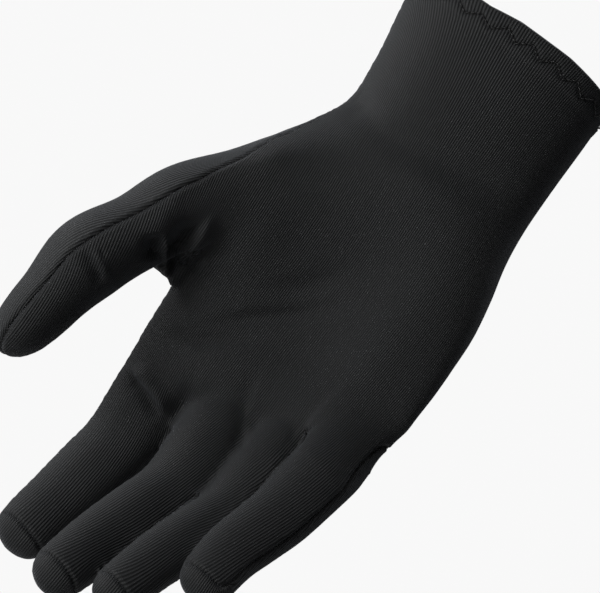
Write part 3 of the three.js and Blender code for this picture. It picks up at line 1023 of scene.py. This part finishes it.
# Stitches
# The seam's stitches (mm, degrees): how deep they lie, how far their middles rise and their ends
# sink, and the height above which none is sewn.
seamStitch = {
    "every": 1.1, "length": 0.95, "thick": 0.26, "slant": 35, "sink": 0.12, "rise": 0.1, "endSink": 0.15,
    "top": -1.5,
}


# One stitch: a short thread, thin at both ends, where it goes into the cloth.
def oneStitch():
    deselectAll()
    bpy.ops.mesh.primitive_cylinder_add(vertices=6, radius=0.5, depth=1, end_fill_type="NGON")
    stitch = bpy.context.object
    bpy.ops.object.mode_set(mode="EDIT")
    for height in (-0.3, -0.1, 0.1, 0.3):
        bpy.ops.mesh.select_all(action="SELECT")
        bpy.ops.mesh.bisect(plane_co=(0, 0, height), plane_no=(0, 0, 1))
    bpy.ops.object.mode_set(mode="OBJECT")
    spots = np.zeros(len(stitch.data.vertices) * 3)
    stitch.data.vertices.foreach_get("co", spots)
    spots = spots.reshape(-1, 3)
    full = 0.55 + 0.45 * (1 - (2 * np.abs(spots[:, 2])) ** 3)
    spots[:, :2] *= full[:, None]
    shape = [tuple(p.vertices) for p in stitch.data.polygons]
    bpy.data.objects.remove(stitch)
    return spots, shape


stitchPoints, stitchFaces = oneStitch()


# Copies of the stitch from a to b (mm), bowed out of the cloth in the middle.
def sewStitches(name, starts, ends, normals, thick, rise, sink):
    allPoints, allFaces = [], []
    for a, b, n in zip(starts, ends, normals):
        way = b - a
        length = np.linalg.norm(way)
        way = way / max(length, 1e-9)
        beside = unit(np.cross(way, n))
        upward = np.cross(beside, way)
        s = stitchPoints[:, 2]
        bow = rise + sink - (rise + 2 * sink) * (2 * np.abs(s)) ** 2
        body = (
            (a + b) / 2 + (s * length)[:, None] * way
            + (stitchPoints[:, 0] * thick)[:, None] * beside
            + (stitchPoints[:, 1] * thick + bow)[:, None] * upward
        )
        base = len(allPoints) * len(stitchPoints)
        allPoints.append(body)
        allFaces += [tuple(i + base for i in f) for f in stitchFaces]
    piece = newPiece(name, np.vstack(allPoints), allFaces)
    faceOutwards(piece)
    return piece


starts, ends, ups = [], [], []
for chain in chains:
    place, way, normal, _ = evenChain(chain, seamStitch["every"])
    for p, w, n in zip(place, way, normal):
        if p[2] > seamStitch["top"]:
            continue
        across = unit(np.cross(n, w))
        turn = math.radians(seamStitch["slant"])
        lie = across * math.cos(turn) + w * math.sin(turn)
        sunk = p - n * seamStitch["sink"]
        starts.append(sunk - lie * seamStitch["length"] / 2)
        ends.append(sunk + lie * seamStitch["length"] / 2)
        ups.append(n)
seamThread = sewStitches(
    "seam_stitches", starts, ends, ups, seamStitch["thick"], seamStitch["rise"], seamStitch["endSink"],
)

hemThread = sewStitches(
    "hem_zigzag", needles, np.roll(needles, -1, 0), unit(needleUps + np.roll(needleUps, -1, 0)),
    zigzag["thick"], zigzag["rise"], zigzag["sink"],
)
print("stitches:", len(starts), len(knots))

# The front of the cuff's edge isn't quite level: across and rise (mm). It fades downwards and
# towards the back.
edgeWave = [(-36, -1.2), (-13, -1.0), (-2, 0.9), (10, 1.4), (18, 1.9), (28, 1.6), (40, 1.2)]
waveFade = {"height": (-22, -2), "front": (-5, 10)}
for piece in (palmSkin, backSkin, hemBand, seamThread, hemThread):
    spots, _ = readMesh(piece.data)
    rise = np.interp(spots[:, 0], *np.array(edgeWave).T)
    front = smoothStep(-spots[:, 1], *waveFade["front"])
    spots[:, 2] += rise * smoothStep(spots[:, 2], *waveFade["height"]) * front
    writePoints(piece.data, spots)


# Materials
class Wire:
    def __init__(self, finish, socket):
        self.finish, self.socket = finish, socket

    def sum(self, kind, a, b):
        return self.finish.node("ShaderNodeMath", {"operation": kind}, {0: a, 1: b})

    def __add__(self, other):
        return self.sum("ADD", self, other)

    def __radd__(self, other):
        return self.sum("ADD", other, self)

    def __sub__(self, other):
        return self.sum("SUBTRACT", self, other)

    def __rsub__(self, other):
        return self.sum("SUBTRACT", other, self)

    def __mul__(self, other):
        return self.sum("MULTIPLY", self, other)

    def __rmul__(self, other):
        return self.sum("MULTIPLY", other, self)

    def __truediv__(self, other):
        return self.sum("DIVIDE", self, other)

    def __pow__(self, other):
        return self.sum("POWER", self, other)


class Finish:
    def __init__(self, name):
        self.material = bpy.data.materials.new(name)
        self.material.use_nodes = True
        self.tree = self.material.node_tree
        self.tree.nodes.clear()

    # A node with its settings, then its sockets' values or links; gives its first or a named output.
    def node(self, kind, settings=None, sockets=None, output=0):
        made = self.tree.nodes.new(kind)
        for key, value in (settings or {}).items():
            setattr(made, key, value)
        for key, value in (sockets or {}).items():
            if isinstance(value, Wire):
                self.tree.links.new(value.socket, made.inputs[key])
            else:
                made.inputs[key].default_value = value
        return Wire(self, made.outputs[output]) if made.outputs else made

    def wave(self, value, turns=1.0, shift=0.0):
        turned = value * (2 * math.pi * turns) + shift
        return self.node("ShaderNodeMath", {"operation": "COSINE"}, {0: turned})

    def mixed(self, share, first, second):
        return self.node("ShaderNodeMix", {"data_type": "RGBA"}, {0: share, 6: first, 7: second}, 2)

    def clamped(self, value, low, high):
        ends = {"Value": value, "From Min": low, "From Max": high}
        return self.node("ShaderNodeMapRange", {"clamp": True}, ends)


# The ribs' relief is painted into the colour. The lighter crest colour is the black cloth with painted
# sheen on the ribs' tops, and the darker groove colour is painted shade between the ribs and loops.
knit = {
    "crestSheen": (0.0160, 0.0171, 0.0180, 1), "groove": (0.0026, 0.0028, 0.003, 1), "roughness": 0.7,
    "sheen": 0.1, "sheenRough": 0.45, "ribHeight": 0.13, "loopHeight": 0.08,
}


def knitFinish(name, shade=1.0):
    f = Finish(name)
    uv = f.node("ShaderNodeUVMap", {"uv_map": "knit"})
    u = f.node("ShaderNodeSeparateXYZ", None, {0: uv}, 0)
    v = f.node("ShaderNodeSeparateXYZ", None, {0: uv}, 1)
    place = f.node("ShaderNodeTexCoord", None, None, "Object")
    wander = f.node("ShaderNodeTexNoise", None, {"Vector": place, "Scale": 160.0, "Detail": 2.0})
    uneven = f.node("ShaderNodeTexNoise", None, {"Vector": place, "Scale": 900.0, "Detail": 1.0})
    broad = f.node("ShaderNodeTexNoise", None, {"Vector": place, "Scale": 28.0, "Detail": 3.0})
    rib = f.wave(u + wander * 0.25) * 0.5 + 0.5
    bend = f.node("ShaderNodeMath", {"operation": "PINGPONG"}, {0: u + wander * 0.25, 1: 0.5})
    loop = f.wave(v + bend * 0.9) * 0.5 + 0.5
    away = f.node("ShaderNodeAttribute", {"attribute_name": "seamAway"}, None, "Fac")
    seamGrooveShade = 1 - f.clamped(away, 0.15, 0.8)
    # Painted rib shading: the colour runs from painted shade in the grooves between ribs and loops up to
    # the crest colour with its painted sheen.
    colour = f.mixed(rib * (0.45 + loop * 0.55), knit["groove"], knit["crestSheen"])
    tone = 0.62 + broad * 0.35 + uneven * 0.5
    colour = f.node("ShaderNodeVectorMath", {"operation": "SCALE"}, {0: colour, "Scale": tone * shade})
    # Painted shade: within about 0.8 mm of a seam or the hem's zigzag the colour darkens towards near
    # black, for the shade in the groove that the thread draws into the cloth.
    colour = f.mixed(seamGrooveShade * 0.7, colour, (0.003, 0.003, 0.003, 1))
    height = rib * knit["ribHeight"] + rib * loop * knit["loopHeight"] + uneven * 0.03
    bump = f.node("ShaderNodeBump", None, {"Height": height, "Distance": 0.001, "Strength": 1.0})
    shader = f.node("ShaderNodeBsdfPrincipled", None, {
        "Base Color": colour, "Roughness": knit["roughness"], "Normal": bump, "Sheen Weight": knit["sheen"],
        "Sheen Roughness": knit["sheenRough"], "Sheen Tint": (0.85, 0.9, 1.0, 1),
        "Specular IOR Level": 0.25,
    })
    f.node("ShaderNodeOutputMaterial", None, {"Surface": shader})
    return f.material


def threadFinish(name):
    f = Finish(name)
    place = f.node("ShaderNodeTexCoord", None, None, "Object")
    ply = f.node("ShaderNodeTexNoise", None, {"Vector": place, "Scale": 2500.0, "Detail": 1.0})
    colour = f.mixed(ply, (0.002, 0.002, 0.0023, 1), (0.015, 0.0155, 0.016, 1))
    bump = f.node("ShaderNodeBump", None, {"Height": ply, "Distance": 0.0001, "Strength": 0.6})
    shader = f.node("ShaderNodeBsdfPrincipled", None, {
        "Base Color": colour, "Roughness": 0.45, "Normal": bump, "Specular IOR Level": 0.4,
    })
    f.node("ShaderNodeOutputMaterial", None, {"Surface": shader})
    return f.material


def wear(piece, material):
    piece.data.materials.clear()
    piece.data.materials.append(material)


knitCloth = knitFinish("black_rib_knit")
wear(palmSkin, knitCloth)
wear(backSkin, knitCloth)
wear(hemBand, knitCloth)
thread = threadFinish("black_thread")
wear(seamThread, thread)
wear(hemThread, thread)
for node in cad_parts.values():
    wear(node, knitCloth)

# How the pieces belong to the frame
for piece, slotName in (
    (palmSkin, "palm_cloth"), (backSkin, "back_cloth"), (hemBand, "hem_cloth"),
    (seamThread, "back_cloth"), (hemThread, "hem_cloth"),
):
    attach(piece, "root")
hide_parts("palm_panel")
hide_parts("back_panel")
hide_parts("cuff_hem")

# Studio
# Lights: direction as seen in the picture (right, up, towards the camera), distance and size (m),
# power (W).
studio = {
    "floor": -0.3, "floorSize": 2.4, "background": 0.94, "ambient": 0.03,
    "lights": {
        "key": ((-0.68, 0.49, 0.69), 1.1, 0.5, 19),
        "rim": ((-0.6, 0.75, -0.3), 1.0, 0.4, 3.8),
        "fill": ((0.6, 0.7, -0.35), 1.0, 0.5, 5.5),
    },
}


def areaLight(name, direction, distance, size, power):
    data = bpy.data.lights.new(name, "AREA")
    data.shape = "DISK"
    data.size = size
    data.energy = power
    lamp = bpy.data.objects.new(name, data)
    bpy.context.scene.collection.objects.link(lamp)
    target = Vector(cameraView["target"]) * mm
    right, up, ahead = (Vector(eye[key]) for key in ("right", "up", "ahead"))
    way = (right * direction[0] + up * direction[1] - ahead * direction[2]).normalized()
    lamp.location = target + way * distance
    lamp.rotation_euler = way.to_track_quat("Z", "Y").to_euler()


for name, settings in studio["lights"].items():
    areaLight(name, *settings)

deselectAll()
bpy.ops.mesh.primitive_plane_add(size=studio["floorSize"], location=(0, -0.3, studio["floor"]))
floor = bpy.context.object
floor.name = "floor"
floorFinish = Finish("pale_floor")
pale = {"Base Color": (0.8, 0.8, 0.8, 1), "Roughness": 0.9}
paint = floorFinish.node("ShaderNodeBsdfPrincipled", None, pale)
floorFinish.node("ShaderNodeOutputMaterial", None, {"Surface": paint})
wear(floor, floorFinish.material)

world = bpy.data.worlds.new("studio")
bpy.context.scene.world = world
world.use_nodes = True
sky = world.node_tree
sky.nodes.clear()
white = sky.nodes.new("ShaderNodeBackground")
dim = sky.nodes.new("ShaderNodeBackground")
white.inputs[0].default_value = (studio["background"],) * 3 + (1,)
dim.inputs[0].default_value = (1, 1, 1, 1)
dim.inputs[1].default_value = studio["ambient"]
path = sky.nodes.new("ShaderNodeLightPath")
mixer = sky.nodes.new("ShaderNodeMixShader")
end = sky.nodes.new("ShaderNodeOutputWorld")
sky.links.new(path.outputs["Is Camera Ray"], mixer.inputs[0])
sky.links.new(dim.outputs[0], mixer.inputs[1])
sky.links.new(white.outputs[0], mixer.inputs[2])
sky.links.new(mixer.outputs[0], end.inputs[0])
bpy.context.scene.view_settings.view_transform = "Standard"
print("studio:", len(bpy.data.lights), "lights")
